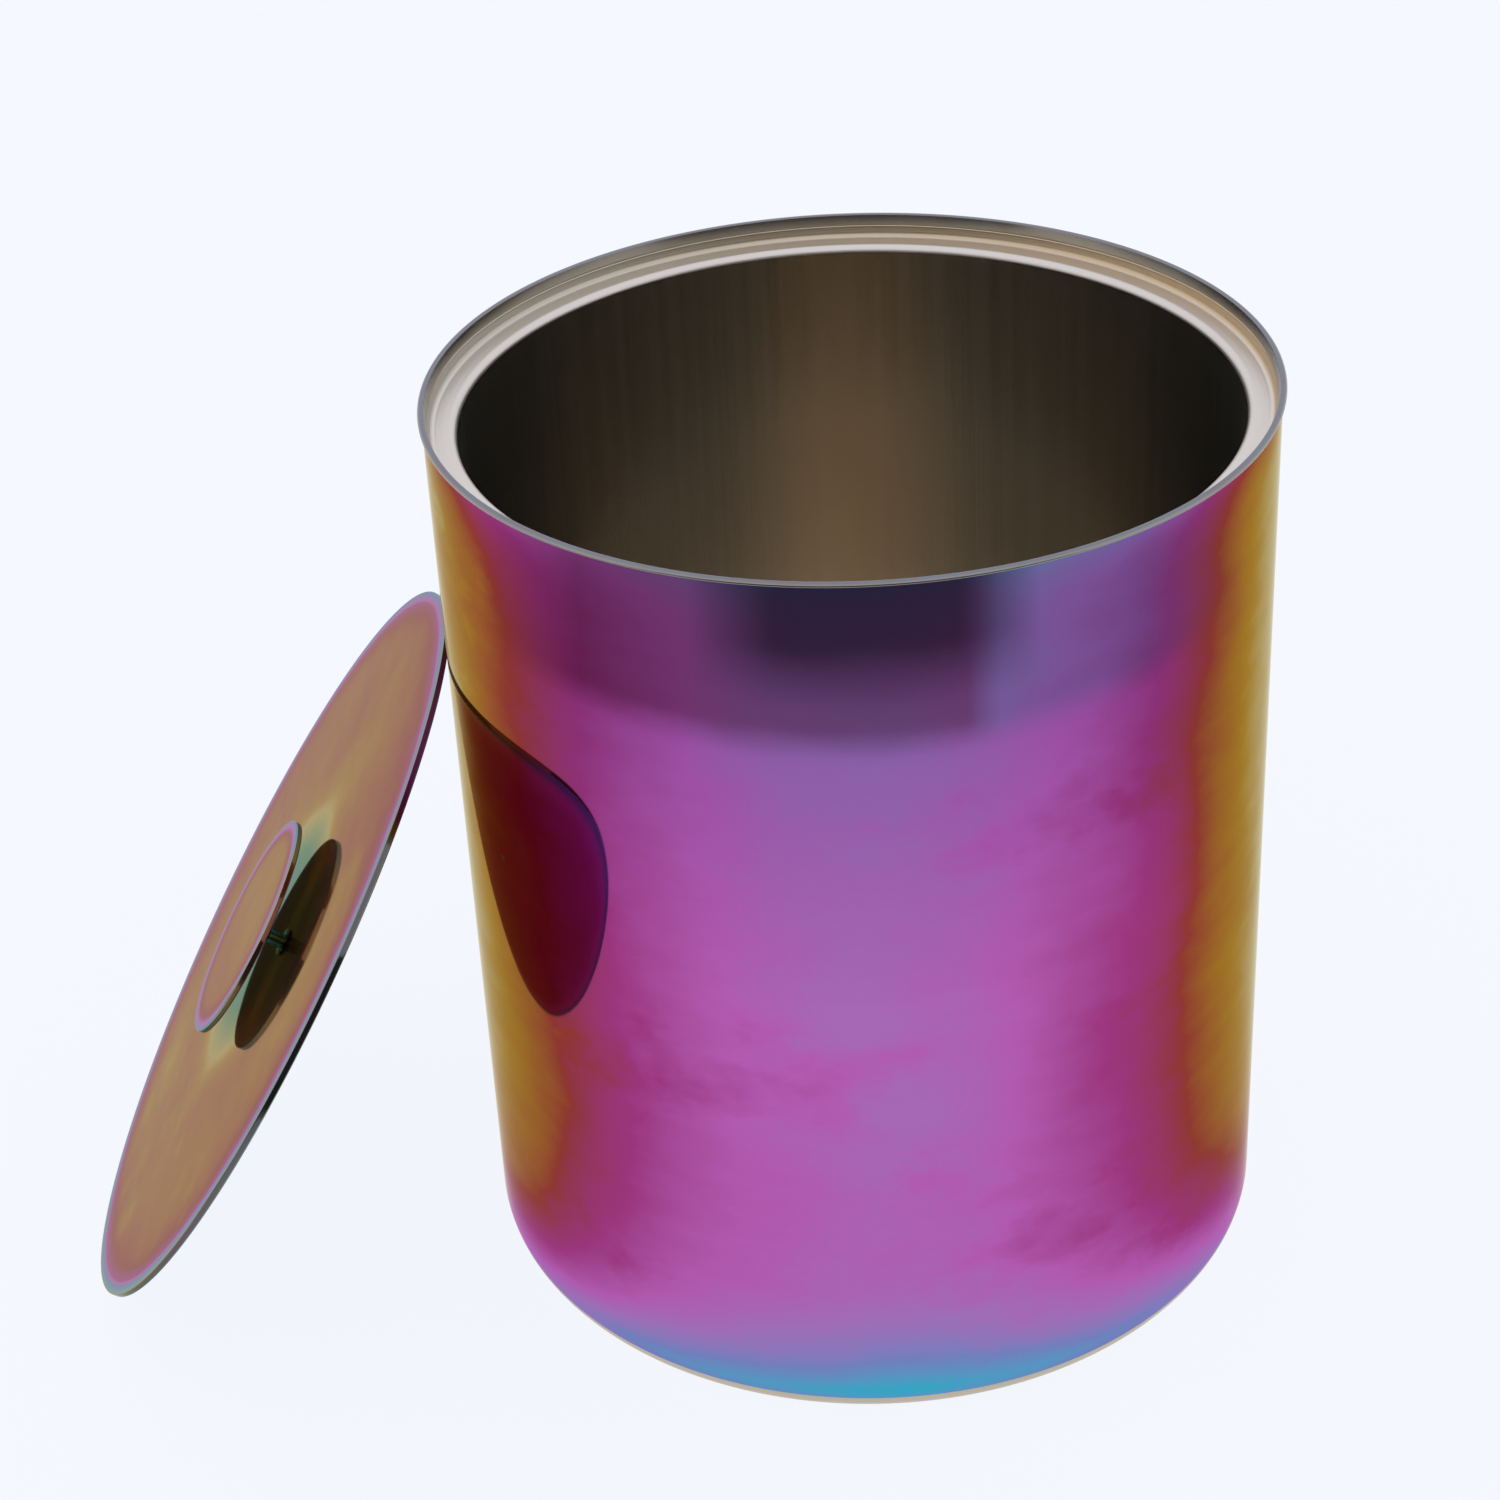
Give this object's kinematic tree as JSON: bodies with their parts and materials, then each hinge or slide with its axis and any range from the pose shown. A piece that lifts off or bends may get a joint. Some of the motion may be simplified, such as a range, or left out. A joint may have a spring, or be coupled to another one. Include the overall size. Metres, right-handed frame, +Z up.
{
  "type": "candle tin",
  "caption": "Tall round mirror-polished metal candle vessel with a stepped liner and a flat disc lid with a round knob, the lid leaning on its side.",
  "frame": {"origin": "centre of the vessel's base, on the surface it stands on", "axes": "+Z up along the vessel's axis; the lid leans on the vessel's -X side; Y is across the plane of symmetry"},
  "size_m": [0.2297, 0.15, 0.1737],
  "materials": {
    "coated_mirror": "mirror polish with a violet to magenta interference coating",
    "coated_lid": "mirror polish with a gold to green and violet interference coating",
    "liner_steel": "spun satin stainless steel, uncoated",
    "plain_steel": "plain stainless steel"
  },
  "bodies": {
    "vessel": {"outer_shell": "coated_mirror", "inner_liner": "liner_steel"},
    "lid": {"lid_disc": "coated_lid", "knob_disc": "coated_lid", "knob_stem": "coated_lid", "stem_collar": "plain_steel"}
  },
  "joints": [
    {"name": "lid_lift", "type": "slide", "parent": "vessel", "child": "lid", "axis": [-0.5, 0, 0.866], "range_m": [0, 0.2]}
  ]
}
